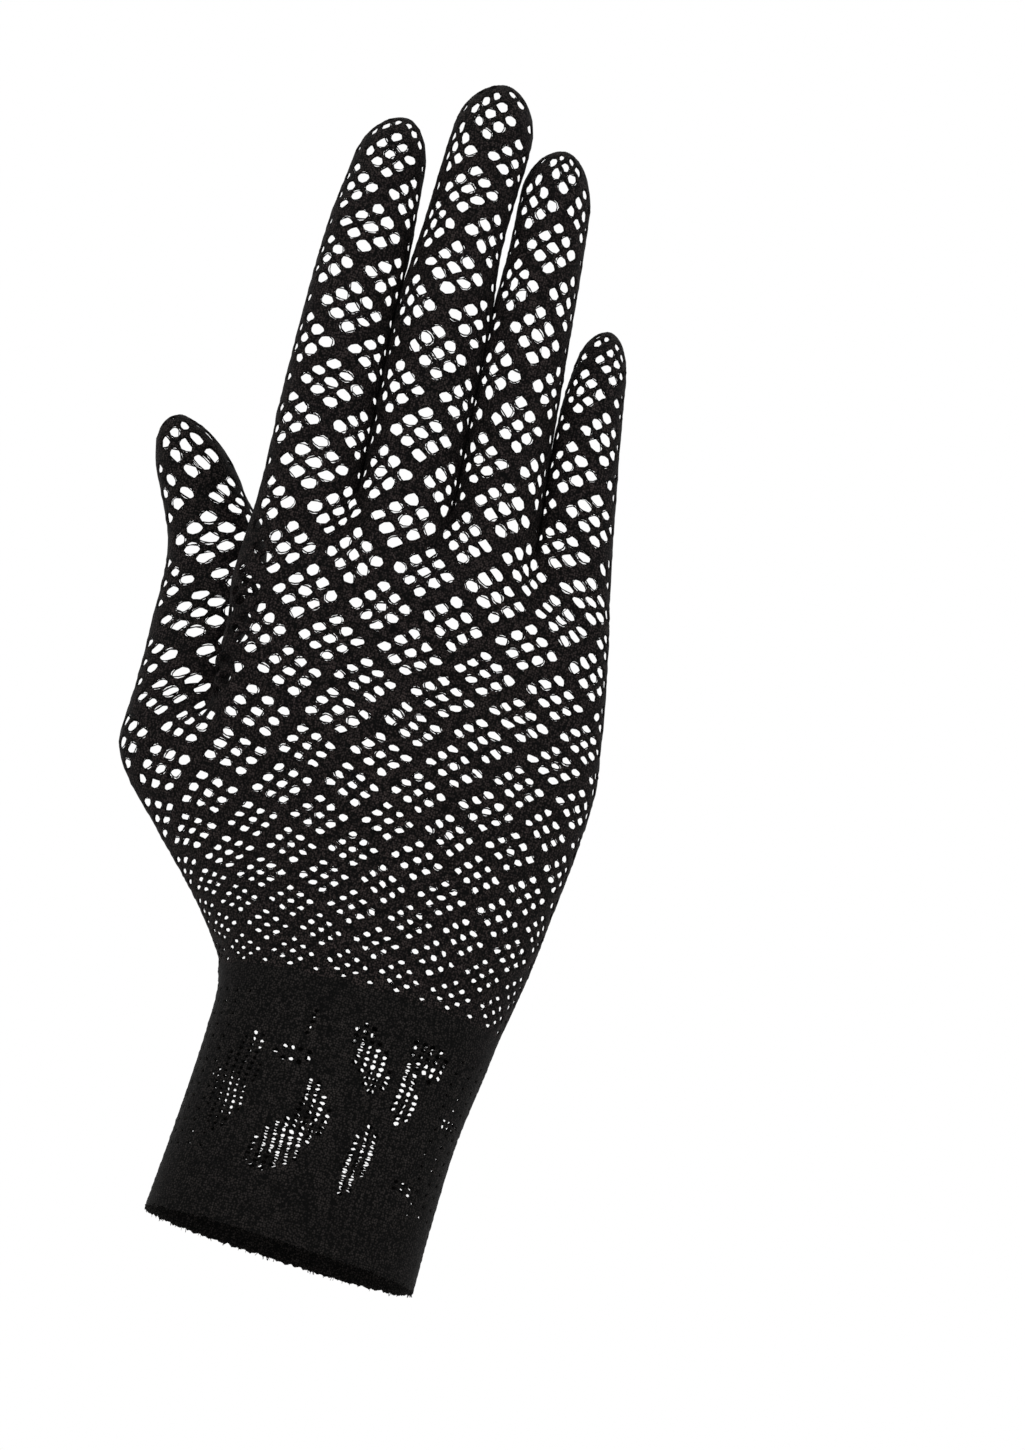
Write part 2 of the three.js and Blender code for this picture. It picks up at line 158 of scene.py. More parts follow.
@dataclass(frozen=True)
class SizeTable:
    """Sizes of sections at growing places, joined by a smooth curve.

    Attributes:
        names: Name of each size, in the order of the columns.
        rows: Place and then the sizes, in millimetres.
    """

    names: tuple[str, ...]
    rows: tuple[tuple[float, ...], ...]

    def at(self, place: float) -> dict[str, float]:
        """Reads every size at one place.

        Args:
            place: Height or course.

        Returns:
            The sizes by name, in millimetres.
        """
        rows = self.rows
        last = len(rows) - 1
        key = min(rows[last][0], max(rows[0][0], place))
        low = 0
        while low < last - 1 and rows[low + 1][0] < key:
            low += 1
        span = rows[low + 1][0] - rows[low][0]
        t = (key - rows[low][0]) / span
        found = {}
        for column, name in enumerate(self.names, 1):
            a, b = rows[low][column], rows[low + 1][column]
            rise_a = self.slope(low, column) * span
            rise_b = self.slope(low + 1, column) * span
            bend = (2 * (a - b) + rise_a + rise_b) * t**3
            found[name] = bend + (3 * (b - a) - 2 * rise_a - rise_b) * t**2 + rise_a * t + a
        return found

    def slope(self, row: int, column: int) -> float:
        """Works out how fast one size changes at a row.

        Args:
            row: Number of the row.
            column: Column of the size.

        Returns:
            Its change for each step of the place, across the rows on either side.
        """
        before = self.rows[max(0, row - 1)]
        after = self.rows[min(len(self.rows) - 1, row + 1)]
        return (after[column] - before[column]) / (after[0] - before[0])


CUFF = SizeTable(
    ("left", "right", "depth"),
    (
        (0, -27.3, 27.2, 19.6),
        (12, -26.9, 26.6, 19.2),
        (30, -26.6, 26.3, 19.0),
        (42, -26.8, 27.2, 19.0),
        (46, -27.2, 27.6, 19.2),
    ),
)

BROAD = ("left", "right", "left_z", "right_z", "bow", "depth", "middle", "thenar")

HAND = SizeTable(
    BROAD,
    (
        (0, -28.2, 28.0, 49.0, 52.3, 0, 19.0, 0.0, 0),
        (3, -29.0, 28.5, 51.4, 56.2, 0, 18.8, -0.5, 0.5),
        (11, -34.6, 29.8, 58.4, 67.5, 0, 18.0, -2.2, 3),
        (19, -40.6, 30.5, 64.4, 79.8, 0, 17.0, -4.2, 6),
        (27, -49.2, 31.2, 72.4, 92.5, 0, 16.2, -6.2, 9),
        (35, -60.4, 31.0, 84.5, 105.0, 0, 15.4, -8.2, 12),
        (41, -61.0, 29.1, 98.0, 114.5, 0, 14.8, -9.6, 14),
    ),
)

PALM = SizeTable(
    BROAD,
    (
        (33, -49.3, 31.4, 89.5, 101.8, 0, 13.8, -7.8, 0),
        (43, -49.4, 28.4, 109.5, 117.2, 0, 13.6, -10.2, 0),
        (51, -49.4, 24.9, 126.6, 130.6, 1.8, 13.0, -12.8, 0),
        (57, -49.5, 22.4, 140.0, 140.0, 5.5, 12.0, -14.6, 0),
    ),
)

TUBE = ("left", "right", "left_z", "right_z", "middle", "depth")


@dataclass(frozen=True)
class FingerForm:
    """Form of one finger or of the thumb.

    Attributes:
        region: Its region of the glove.
        node: The CAD node it stands for.
        wales: First and last wale of one layer.
        start: Course at which it leaves the hand.
        last: Course of its tip.
        round_end: Length of its round end, in courses of the straight part.
        tip_x: Place of its tip, in millimetres.
        sizes: Its sections by course.
        lean: How far its blocks stray to the thumb's side at the tip, in wales.
        round_rows: Rows of stitches over the round end.
    """

    region: Region
    node: str
    wales: tuple[int, int]
    start: int
    last: int
    round_end: float
    tip_x: float
    sizes: SizeTable
    lean: float = 0.0
    round_rows: float = 6.4

    @property
    def end(self) -> float:
        """Row of stitches at which it closes."""
        return self.last - self.round_end + self.round_rows


THUMB = FingerForm(
    Region.THUMB, "thumb", (0, 9), THUMB_FORK, 66, 4.6, -69.0,
    SizeTable(TUBE, (
        (33, -61.2, -41.5, 82.0, 92.0, 4.0, 10.4),
        (41, -61.3, -42.0, 98.0, 107.0, 6.0, 9.6),
        (47, -62.2, -42.6, 110.2, 118.7, 7.2, 9.2),
        (55, -64.0, -45.7, 126.8, 133.3, 7.2, 8.8),
        (61, -70.5, -53.4, 139.6, 141.7, 5.6, 8.3),
        (66, -75.2, -58.0, 150.1, 150.1, 4.5, 8.0),
    )),
)

FINGERS = (
    FingerForm(
        Region.INDEX, "index_finger", (8, 18), HAND_TOP, 95, 4.2, -44.8,
        SizeTable(TUBE, (
            (49, -49.5, -31.2, 122.5, 126.5, -12.6, 11.0),
            (57, -49.6, -31.1, 140.0, 143.4, -14.6, 9.6),
            (65, -51.2, -32.2, 157.3, 158.0, -16.0, 9.0),
            (75, -52.5, -34.5, 177.3, 177.3, -17.0, 8.7),
            (83, -53.1, -36.0, 193.2, 193.2, -16.4, 8.2),
            (91, -52.4, -38.2, 209.2, 209.2, -14.2, 7.4),
            (95, -52.0, -38.9, 217.1, 217.1, -12.6, 7.0),
        )),
    ),
    FingerForm(
        Region.MIDDLE, "middle_finger", (16, 27), HAND_TOP, 98, 4.2, -27.9,
        SizeTable(TUBE, (
            (49, -31.2, -12.6, 126.5, 128.5, -12.6, 11.4),
            (57, -31.1, -12.4, 143.4, 145.6, -15.2, 10.0),
            (65, -32.9, -14.1, 161.2, 161.6, -17.0, 9.3),
            (75, -35.1, -16.3, 182.0, 182.0, -18.4, 9.0),
            (83, -35.2, -19.0, 198.5, 198.5, -17.8, 8.5),
            (93, -35.6, -19.7, 219.0, 219.0, -15.0, 7.8),
            (98, -35.6, -20.4, 229.3, 229.3, -13.4, 7.4),
        )),
        lean=1.5,
    ),
    FingerForm(
        Region.RING, "ring_finger", (25, 36), HAND_TOP, 92, 4.2, -13.0,
        SizeTable(TUBE, (
            (49, -12.6, 6.2, 128.5, 127.0, -12.4, 11.0),
            (57, -12.4, 5.4, 145.6, 143.2, -14.8, 9.4),
            (65, -14.4, 2.7, 161.2, 160.8, -16.4, 8.8),
            (75, -16.8, -0.6, 183.0, 183.0, -17.4, 8.4),
            (83, -17.9, -3.2, 200.6, 200.6, -16.2, 7.9),
            (89, -19.4, -5.3, 213.9, 213.9, -13.6, 7.3),
            (92, -19.9, -6.2, 220.6, 220.6, -12.2, 7.0),
        )),
    ),
    FingerForm(
        Region.LITTLE, "little_finger", (34, 43), HAND_TOP, 82, 4.0, 6.2,
        SizeTable(TUBE, (
            (49, 6.2, 26.2, 127.0, 126.0, -12.4, 10.0),
            (57, 5.4, 22.2, 143.2, 139.6, -13.4, 8.2),
            (65, 3.2, 17.8, 157.4, 156.6, -14.2, 7.6),
            (73, 1.5, 14.0, 172.6, 172.6, -13.8, 7.1),
            (79, 1.4, 11.6, 184.0, 184.0, -11.4, 6.4),
            (82, 1.0, 11.0, 189.5, 189.5, -9.6, 6.0),
        )),
    ),
)


@dataclass(frozen=True)
class HandForm:
    """The worn form of the glove, as a point for each wale and course.

    Attributes:
        inset: Distance from the outline to the middle of the fabric, in millimetres.
        squareness: Exponent of the rounded section of hand and cuff.
        lift_power: How early a course rises from the thumb's side.
        knuckle_arch: Fall of the section's ends behind its middle, in millimetres.
        thenar_from: Place across at which the ball of the thumb begins, as a share.
        thenar_width: Share of the half width over which it grows.
        web: Middle of the web between thumb and palm, in millimetres.
        web_depth: Half the web's thickness, in millimetres.
        web_courses: Courses above the thumb's fork over which the web fades out.
        thumb_room: Room between thumb and palm above their fork, in millimetres.
        room_courses: Courses over which that room opens.
        crotch_courses: Courses over which two fingers part above their fork.
        tip_lift: What rounding takes off a fingertip, in millimetres.
    """

    inset: float = 0.05
    squareness: float = 2.3
    lift_power: float = 2.7
    knuckle_arch: float = 2.0
    thenar_from: float = 0.1
    thenar_width: float = 0.85
    web: tuple[float, float] = (-43.4, 1.2)
    web_depth: float = 2.0
    web_courses: float = 8.0
    thumb_room: float = 2.4
    room_courses: float = 2.0
    crotch_courses: float = 3.0
    tip_lift: float = 1.5

    def half_loop(self, width: float, depth: float, power: float, share: float) -> Vector:
        """Point on half of a rounded section, at a share of its length.

        Args:
            width: Half width in millimetres.
            depth: Half depth in millimetres.
            power: Squareness of the section.
            share: Share of the way from the left edge to the right edge.

        Returns:
            The place across and outwards, in millimetres.
        """
        if share <= 0 or share >= 1:
            return Vector((-width if share <= 0 else width, 0.0))
        points = [(width * x, depth * y) for x, y in rounded_half(power)]
        lengths = [0.0]
        for (x0, y0), (x1, y1) in zip(points, points[1:]):
            lengths.append(lengths[-1] + math.hypot(x1 - x0, y1 - y0))
        wanted = share * lengths[-1]
        step = max(1, bisect_left(lengths, wanted))
        part = (wanted - lengths[step - 1]) / (lengths[step] - lengths[step - 1])
        return Vector(points[step - 1]).lerp(Vector(points[step]), part)

    def cuff(self, layer: Layer, wale: float, height: float) -> Vector:
        """Point of the cuff.

        Args:
            layer: Back of the hand or palm.
            wale: Column of the knit.
            height: Height above the hem, in millimetres.

        Returns:
            The point in millimetres.
        """
        s = CUFF.at(height)
        half = (s["right"] - s["left"]) / 2 - self.inset
        flat = self.half_loop(half, s["depth"] - self.inset, self.squareness, wale / LAST_WALE)
        return Vector((flat.x + (s["left"] + s["right"]) / 2, layer.value * flat.y, height))

    def band(self, layer: Layer, wale: float, up: float) -> Vector:
        """Point of the wrist band, from the lace (0) to the net (1)."""
        low = self.cuff(layer, wale, LACE_TOP)
        return low.lerp(self.broad(HAND, 0, layer, wale, 0), up)

    def broad(
        self, table: SizeTable, first: int, layer: Layer, wale: float, course: float
    ) -> Vector:
        """Point of the hand or the palm.

        Args:
            table: Sizes of the hand or the palm.
            first: Wale of its edge on the thumb's side.
            layer: Back of the hand or palm.
            wale: Column of the knit.
            course: Row of the knit.

        Returns:
            The point in millimetres.
        """
        s = table.at(course)
        share = (wale - first) / (LAST_WALE - first)
        half = (s["right"] - s["left"]) / 2 - self.inset
        flat = self.half_loop(half, s["depth"] - self.inset, self.squareness, share)
        across = flat.x / half
        to_thumb = ease((-across - self.thenar_from) / self.thenar_width)
        lift = 1 - (1 - share) ** self.lift_power if share < 1 else 1.0
        height = s["left_z"] + (s["right_z"] - s["left_z"]) * lift
        point = Vector(
            (
                flat.x + (s["left"] + s["right"]) / 2,
                s["middle"] + self.knuckle_arch * across**2 + s["thenar"] * to_thumb - flat.y,
                height + s["bow"] * math.sin(math.pi * share),
            )
        )
        return stitch_behind(point, 2 * flat.y) if layer == Layer.PALM else point

    def tube(self, form: FingerForm, layer: Layer, wale: float, course: float) -> Vector:
        """Point of a finger or the thumb, apart from its neighbours.

        Args:
            form: Its form.
            layer: Back of the hand or palm.
            wale: Column of the knit.
            course: Row of the knit.

        Returns:
            The point in millimetres.
        """
        start = form.last - form.round_end
        turn = math.pi / 2 * min(1.0, max(0.0, (course - start) / form.round_rows))
        along, narrowing = math.sin(turn), max(0.0, math.cos(turn))
        s = form.sizes.at(min(course, start) + form.round_end * along)
        first, last = form.wales
        share = (wale - first) / (last - first)
        up = min(1.0, max(0.0, (course - form.start) / (form.end - form.start)))
        share -= form.lean * up * 4 * share * (1 - share) / (last - first)
        half = (s["right"] - s["left"]) / 2 - self.inset
        flat = self.half_loop(half, s["depth"] - self.inset, 2.0, share)
        slant = (s["right_z"] - s["left_z"]) / 2 * flat.x / half
        centre = (s["left"] + s["right"]) / 2
        out = flat.y * narrowing
        point = Vector(
            (
                form.tip_x + (centre - form.tip_x) * narrowing + flat.x * narrowing,
                s["middle"] - out,
                (s["left_z"] + s["right_z"]) / 2
                + slant * narrowing
                + (self.tip_lift - self.inset) * along**2,
            )
        )
        return stitch_behind(point, 2 * out) if layer == Layer.PALM else point

    def web_point(self, layer: Layer) -> Vector:
        """Point of the web between thumb and palm, at the thumb's fork."""
        height = self.broad(PALM, THUMB_EDGE, layer, THUMB_EDGE, THUMB_FORK).z
        return Vector((self.web[0], self.web[1] + layer.value * self.web_depth, height))

    def split(self, layer: Layer, wale: float, course: float) -> Vector:
        """Point of the hand as it is where thumb and palm part.

        Args:
            layer: Back of the hand or palm.
            wale: Column of the knit.
            course: Row of the knit.

        Returns:
            The point in millimetres.
        """
        web = self.web_point(layer)
        web.z = self.broad(PALM, THUMB_EDGE, layer, THUMB_EDGE, course).z
        away = abs(wale - THUMB_EDGE) / FORK_REACH
        if wale < THUMB_EDGE:
            edge = self.tube(THUMB, layer, THUMB_EDGE, course)
            return self.tube(THUMB, layer, wale, course) + (web - edge) * ease(1 - away)
        edge = self.broad(PALM, THUMB_EDGE, layer, THUMB_EDGE, course)
        point = self.broad(PALM, THUMB_EDGE, layer, wale, course)
        return point + (web - edge) * ease(1 - away)

    def palm(self, layer: Layer, wale: float, course: float) -> Vector:
        """Point of the palm above the thumb's fork.

        Args:
            layer: Back of the hand or palm.
            wale: Column of the knit.
            course: Row of the knit.

        Returns:
            The point in millimetres.
        """
        point = self.broad(PALM, THUMB_EDGE, layer, wale, course)
        edge = self.broad(PALM, THUMB_EDGE, layer, THUMB_EDGE, THUMB_FORK)
        rise = ease(1 - (course - THUMB_FORK) / self.web_courses)
        web = self.web_point(layer)
        if course > THUMB_FORK:
            web.y = self.web[1]
        away = abs(wale - THUMB_EDGE) / FORK_REACH
        return point + (web - edge) * rise * ease(1 - away)

    def finger(self, place: int, layer: Layer, wale: float, course: float) -> Vector:
        """Point of a finger, drawn to its neighbours near their forks.

        Args:
            place: Number of the finger, from the index finger.
            layer: Back of the hand or palm.
            wale: Column of the knit.
            course: Row of the knit.

        Returns:
            The point in millimetres.
        """
        own = FINGERS[place]
        point = self.tube(own, layer, wale, course)
        fade = ease(1 - (course - HAND_TOP) / self.crotch_courses)
        if fade <= 0:
            return point
        moved = point.copy()
        for number, fork in enumerate(FORKS):
            if number not in (place - 1, place):
                continue
            beyond = wale >= fork if number == place else wale <= fork
            away = abs(wale - fork) / FORK_REACH
            if not beyond and away >= 1:
                continue
            edge_wale = wale if beyond else fork
            other = FINGERS[number + 1 if number == place else number]
            edge = self.tube(own, layer, edge_wale, course)
            facing = self.tube(other, layer, 2 * fork - edge_wale, course)
            share = 1.0 if beyond else ease(1 - away)
            moved += (facing - edge) * 0.5 * share * fade
        return moved

    def thumb(self, layer: Layer, wale: float, course: float) -> Vector:
        """Point of the thumb, drawn to the web near its fork.

        Args:
            layer: Back of the hand or palm.
            wale: Column of the knit.
            course: Row of the knit.

        Returns:
            The point in millimetres.
        """
        point = self.tube(THUMB, layer, wale, course)
        rise = ease(1 - (course - THUMB_FORK) / self.web_courses)
        beyond = max(0.0, wale - THUMB_EDGE)
        away = abs(min(0.0, wale - THUMB_EDGE)) / FORK_REACH
        shifts = [
            self.web_point(side) - self.tube(THUMB, side, THUMB_EDGE, THUMB_FORK)
            for side in Layer
        ]
        own = shifts[0] if layer == Layer.BACK_OF_HAND else shifts[1]
        shift = own.lerp((shifts[0] + shifts[1]) / 2, beyond)
        room = self.thumb_room * ease((course - THUMB_FORK) / self.room_courses)
        return point + (shift - Vector((room, 0, 0))) * rise * ease(1 - away)

    def hand(self, layer: Layer, wale: float, course: float) -> Vector:
        """Point of the hand from the wrist band to the fingers' forks.

        Args:
            layer: Back of the hand or palm.
            wale: Column of the knit.
            course: Row of the knit.

        Returns:
            The point in millimetres.
        """
        if course <= THUMB_FORK:
            whole = self.broad(HAND, 0, layer, wale, course)
            turn = ease((course - THUMB_FORK + FORK_COURSES) / FORK_COURSES)
            return whole.lerp(self.split(layer, wale, course), turn) if turn > 0 else whole
        palm = self.palm(layer, wale, course)
        turn = ease((course - HAND_TOP + FORK_COURSES) / FORK_COURSES)
        if turn <= 0:
            return palm
        place = sum(1 for fork in FORKS if wale > fork)
        return palm.lerp(self.finger(place, layer, wale, course), turn)


@dataclass(frozen=True)
class Leaf:
    """One leaf of openings in the lace cuff.

    Attributes:
        spine: Its middle line from its top down, as places across and heights.
        half_width: Half its greatest width, in millimetres.
        size: Share of a cell that its widest opening takes.
        fade: How much smaller its outermost openings are.
        taper: Power that narrows its ends: smaller is blunter.
    """

    spine: tuple[tuple[float, float], ...]
    half_width: float
    size: float = 0.49
    fade: float = 0.3
    taper: float = 0.6

    def share(self, x: float, z: float) -> float:
        """Share of a cell that is open at a place, 0 outside the leaf.

        Args:
            x: Place across the cuff, in millimetres.
            z: Height above the hem, in millimetres.

        Returns:
            The share.
        """
        top, bottom = self.spine[0][1], self.spine[-1][1]
        along = (top - z) / (top - bottom)
        if not 0 < along < 1:
            return 0.0
        middle = self.spine[-1][0]
        for (x0, z0), (x1, z1) in zip(self.spine, self.spine[1:]):
            if z1 <= z <= z0:
                middle = x0 + (x1 - x0) * (z0 - z) / (z0 - z1)
        width = self.half_width * math.sin(math.pi * along) ** self.taper
        away = abs(x - middle) / width
        return self.size * (1 - self.fade * away**2) if away < 1 else 0.0


def eyelet(
    x: float, z: float, half_height: float = 0.9, size: float = 0.46, half_width: float = 1.05
) -> Leaf:
    """A single eyelet or short slit of the lace.

    Args:
        x: Place across the cuff, in millimetres.
        z: Height of its middle.
        half_height: Half its height.
        size: Share of a cell that it takes.
        half_width: Half its width, which takes in one wale.

    Returns:
        The eyelet as a narrow leaf.
    """
    return Leaf(((x, z + half_height), (x, z - half_height)), half_width, size, 0.0)


@dataclass(frozen=True)
class JacquardChart:
    """Where the knit is opened, and how far.

    Attributes:
        block_wales: Wales from one block of openings to the next row's block.
        block_courses: Courses from one row of blocks to the next.
        first_wale: Wale of the first block.
        first_course: Course of the first block.
        sizes: Share of a cell that an opening takes, by course, in the hand.
        finger_size: The same in the fingers.
        spread: How much one opening differs from the next.
        cap_courses: Courses at a fingertip that stay closed.
        edge_sizes: What is left of the openings one and two wales from a finger's side.
        leaves: The lace cuff's leaves and eyelets, on the back of the hand.
        lace_spread: How much one opening of the lace differs from the next.
        twin_size: How much larger the openings of their twins on the palm's side are.
        side_from: Distance from the cuff's middle at which its sides begin.
        side_size: Share of a cell that a pinhole at the sides takes.
    """

    block_wales: int = 3
    block_courses: int = 4
    first_wale: int = 1
    first_course: int = 3
    sizes: SizeTable = SizeTable(
        ("share",), ((0, 0.57), (8, 0.66), (15, 0.71), (30, 0.79), (44, 0.86), (57, 0.92))
    )
    finger_size: float = 0.93
    spread: float = 0.04
    cap_courses: float = 1.7
    edge_sizes: tuple[float, float] = (0.72, 0.9)
    leaves: tuple[Leaf, ...] = (
        Leaf(((2.8, 46.4), (3.9, 42.6), (5.6, 38.6), (7.2, 35.0), (8.0, 32.0)), 3.7),
        Leaf(((14.6, 47.6), (16.0, 43.0), (17.6, 38.6)), 4.2),
        Leaf(((13.2, 41.0), (14.0, 34.0), (14.6, 28.0)), 2.3),
        Leaf(((-3.8, 32.2), (-2.8, 27.0), (-0.4, 19.8)), 3.4),
        Leaf(((-5.0, 24.2), (-6.0, 19.0), (-8.8, 11.2)), 5.2),
        Leaf(((9.8, 27.4), (9.2, 20.0), (8.0, 11.8)), 2.8),
        Leaf(((-16.8, 38.6), (-18.2, 28.0), (-19.4, 16.0)), 3.8, 0.3),
        Leaf(((-7.4, 45.0), (-7.6, 39.6)), 1.6, 0.3),
        eyelet(-12.9, 34.8),
        eyelet(-6.3, 35.6),
        eyelet(-10.6, 36.8, 0.8, 0.4),
        eyelet(-10.6, 33.6, 0.8, 0.4),
        eyelet(-8.4, 36.2, 0.8, 0.4),
        eyelet(-8.4, 34.0, 0.8, 0.4),
        eyelet(22.6, 32.2, 1.4, 0.3),
        eyelet(24.2, 32.2, 1.2, 0.3),
        eyelet(18.2, 17.7, 1.6, 0.3),
        eyelet(20.0, 17.7, 1.6, 0.3),
    )
    lace_spread: float = 0.06
    twin_size: float = 1.3
    side_from: float = 20.5
    side_size: float = 0.2

    def lace_opening(self, layer: Layer, point: Vector, wale: int, row: int) -> float:
        """Share of a cell that is open at one stitch of the lace.

        Args:
            layer: Back of the hand or palm.
            point: Place of the stitch, in millimetres.
            wale: Its column.
            row: Its row.

        Returns:
            The share, 0 where it is closed.
        """
        front = stitch_behind(point, -2 * point.y) if layer == Layer.PALM else point
        share = max(leaf.share(front.x, front.z) for leaf in self.leaves)
        share *= self.twin_size if layer == Layer.PALM else 1.0
        if share == 0 and abs(point.x) > self.side_from and (wale + row) % 2 == 0:
            share = self.side_size if HEM_HEIGHT < point.z and row % 2 else 0.0
        return share * ((1 - self.lace_spread) + self.lace_spread * scatter(wale, row))

    def in_block(self, wale: int, course: int) -> bool:
        """Tells whether a stitch of the net is the middle of an opening.

        Args:
            wale: Its column.
            course: Its row.

        Returns:
            True in the nine places of a block.
        """
        column = round((wale - self.first_wale) / self.block_wales)
        row = round((course - self.first_course) / self.block_courses)
        for m in range(column - 1, column + 2):
            for n in range(row - 1, row + 2):
                if (m + n) % 2:
                    continue
                across = abs(wale - self.first_wale - m * self.block_wales)
                along = abs(course - self.first_course - n * self.block_courses)
                if across + along <= 2 and (across + along) % 2 == 0:
                    return True
        return False

    def net_opening(self, wale: int, course: int, in_finger: bool = False) -> float:
        """Share of a cell that is open at one stitch of the net.

        Args:
            wale: Its column.
            course: Its row.
            in_finger: True in a finger or the thumb.

        Returns:
            The share, 0 where it is closed.
        """
        if not self.in_block(wale, course):
            return 0.0
        share = self.finger_size if in_finger else self.sizes.at(course)["share"]
        return share * (1 + self.spread * (2 * scatter(wale, course, in_finger) - 1))


@dataclass
class KnittedCage:
    """The cage of faces of the whole glove, one face for each stitch of the chart.

    Attributes:
        form: The form of the hand.
        chart: The jacquard's openings.
        weld: Distance under which two stitches are one, in millimetres.
        tip_steps: Places of the last rows, in courses below the tip.
        wander: How far a stitch strays from its place, in stitches.
        sway: How far a whole block strays, in stitches.
        sway_across: Turns of that straying across, by course and by wale, in radians.
        sway_along: The same along the wales.
        calm_wales: Wales beside a seam or fork over which stitches keep their place.
        round_share: How much each opening is drawn to a round one.
        net_round: Radius of that round one, as a share of the charted opening's reach.
        lace_round: The same in the lace cuff.
        uneven: How much each of these points strays, as a share.
        mesh: The cage itself.
        threads: The loose filaments inside the openings.
    """

    form: HandForm = HandForm()
    chart: JacquardChart = JacquardChart()
    weld: float = 0.05
    tip_steps: tuple[float, ...] = (0.45, 0.12, 0.0)
    wander: float = 0.09
    sway: float = 0.2
    sway_across: tuple[float, float] = (0.55, 0.35)
    sway_along: tuple[float, float] = (-0.3, 0.62)
    calm_wales: float = 3.0
    round_share: float = 0.65
    net_round: float = 0.64
    lace_round: float = 0.9
    uneven: float = 0.06
    mesh: bmesh.types.BMesh = field(default_factory=bmesh.new)
    threads: bmesh.types.BMesh | None = None

    def __post_init__(self) -> None:
        """Adds the layers that keep how far a stitch is open, and which faces are gaps."""
        self.opening = self.mesh.verts.layers.float.new("opening")
        self.centre = self.mesh.verts.layers.float_vector.new("centre")
        self.reach = self.mesh.verts.layers.float.new("reach")
        self.gap = self.mesh.faces.layers.int.new("gap")

    def stray(
        self, wale: int, course: float, draw: int, by_course: float, by_wale: float
    ) -> float:
        """How far a stitch strays in one direction, by itself and with its block.

        Args:
            wale: Its column.
            course: Its row.
            draw: Number of the direction, which tells its draws from the other's.
            by_course: Turn of the block's straying for each course, in radians.
            by_wale: The same for each wale.

        Returns:
            The distance in stitches.
        """
        own = self.wander * (2 * scatter(wale, course, draw) - 1)
        return own + self.sway * math.sin(by_course * course + by_wale * wale)

    def layer_grid(
        self,
        region_of: Callable[[float], Region],
        place_of: Callable[[Layer, float, float], Vector],
        opening_of: Callable[[int, float], float],
        wales: tuple[int, int],
        courses: list[float],
        layer: Layer,
    ) -> None:
        """Adds one layer of stitches as a grid, laid on the form.

        Args:
            region_of: Gives the region of a course.
            place_of: Gives the point of a layer, wale and course.
            opening_of: Gives the opened share of a wale and course.
            wales: First and last wale.
            courses: The courses, from the lowest.
            layer: Back of the hand or palm.
        """
        first, last = wales
        made = bmesh.ops.create_grid(
            self.mesh, x_segments=last - first, y_segments=len(courses) - 1, size=0.5
        )
        faces = {face for vert in made["verts"] for face in vert.link_faces}
        rows = len(courses) - 1
        for face in faces:
            row = int((face.calc_center_median().y + 0.5) * rows)
            face.material_index = region_of(courses[row]).value
            face.smooth = True
        for vert in made["verts"]:
            wale = first + round((vert.co.x + 0.5) * (last - first))
            row = round((vert.co.y + 0.5) * rows)
            course = courses[row]
            vert[self.opening] = opening_of(wale, course)
            sides = min(wale - first, last - wale) / self.calm_wales
            ends = min(row, rows - row) / self.calm_wales
            loose = ease(sides) * ease(ends)
            across = self.stray(wale, course, 1, *self.sway_across)
            along = self.stray(wale, course, 2, *self.sway_along)
            vert.co = place_of(layer, wale + across * loose, course + along * loose)
        if layer == Layer.PALM:
            bmesh.ops.reverse_faces(self.mesh, faces=list(faces))

    def add_cuff(self) -> None:
        """Adds the rows of hem, lace and wrist band."""
        rows = [float(row) for row in range(CUFF_ROWS + BAND_ROWS + 1)]

        def height(row: float) -> float:
            """Height of a cuff row in millimetres."""
            return row * LACE_TOP / CUFF_ROWS

        def region(row: float) -> Region:
            """Region of a cuff row."""
            if row >= CUFF_ROWS:
                return Region.BAND
            return Region.HEM if height(row + 0.5) < HEM_HEIGHT else Region.LACE

        def place(layer: Layer, wale: float, row: float) -> Vector:
            """Point of a cuff row."""
            if row <= CUFF_ROWS:
                return self.form.cuff(layer, wale, height(row))
            return self.form.band(layer, wale, (row - CUFF_ROWS) / BAND_ROWS)

        for layer in Layer:

            def opening(wale: int, row: float, layer: Layer = layer) -> float:
                """Opened share of a lace stitch.

                Args:
                    wale: Its column.
                    row: Its row.
                    layer: Back of the hand or palm.

                Returns:
                    The share of a cell, 0 where it is closed.
                """
                top = CUFF_ROWS + (BAND_ROWS if layer == Layer.PALM else 0)
                if not (0 < wale < LAST_WALE and HEM_HEIGHT < height(row) and row < top):
                    return 0.0
                point = place(layer, wale, row)
                return self.chart.lace_opening(layer, point, wale, round(row))

            self.layer_grid(region, place, opening, (0, LAST_WALE), rows, layer)

    def add_hand(self) -> None:
        """Adds the hand's net up to the thumb's fork, and the palm's up to the fingers'."""
        chart = self.chart

        def region(course: float) -> Region:
            """Lower or upper half of the hand."""
            return Region.LOWER_HAND if course < LOWER_TOP else Region.UPPER_HAND

        def opening(first: int) -> Callable[[int, float], float]:
            """Opened shares for a stretch of the hand that begins at a wale.

            Args:
                first: Its wale on the thumb's side, which stays closed as the last one does.

            Returns:
                A function that gives the share of a wale and course.
            """
            return lambda wale, course: (
                chart.net_opening(wale, round(course))
                if first < wale < LAST_WALE and course > 0
                else 0.0
            )

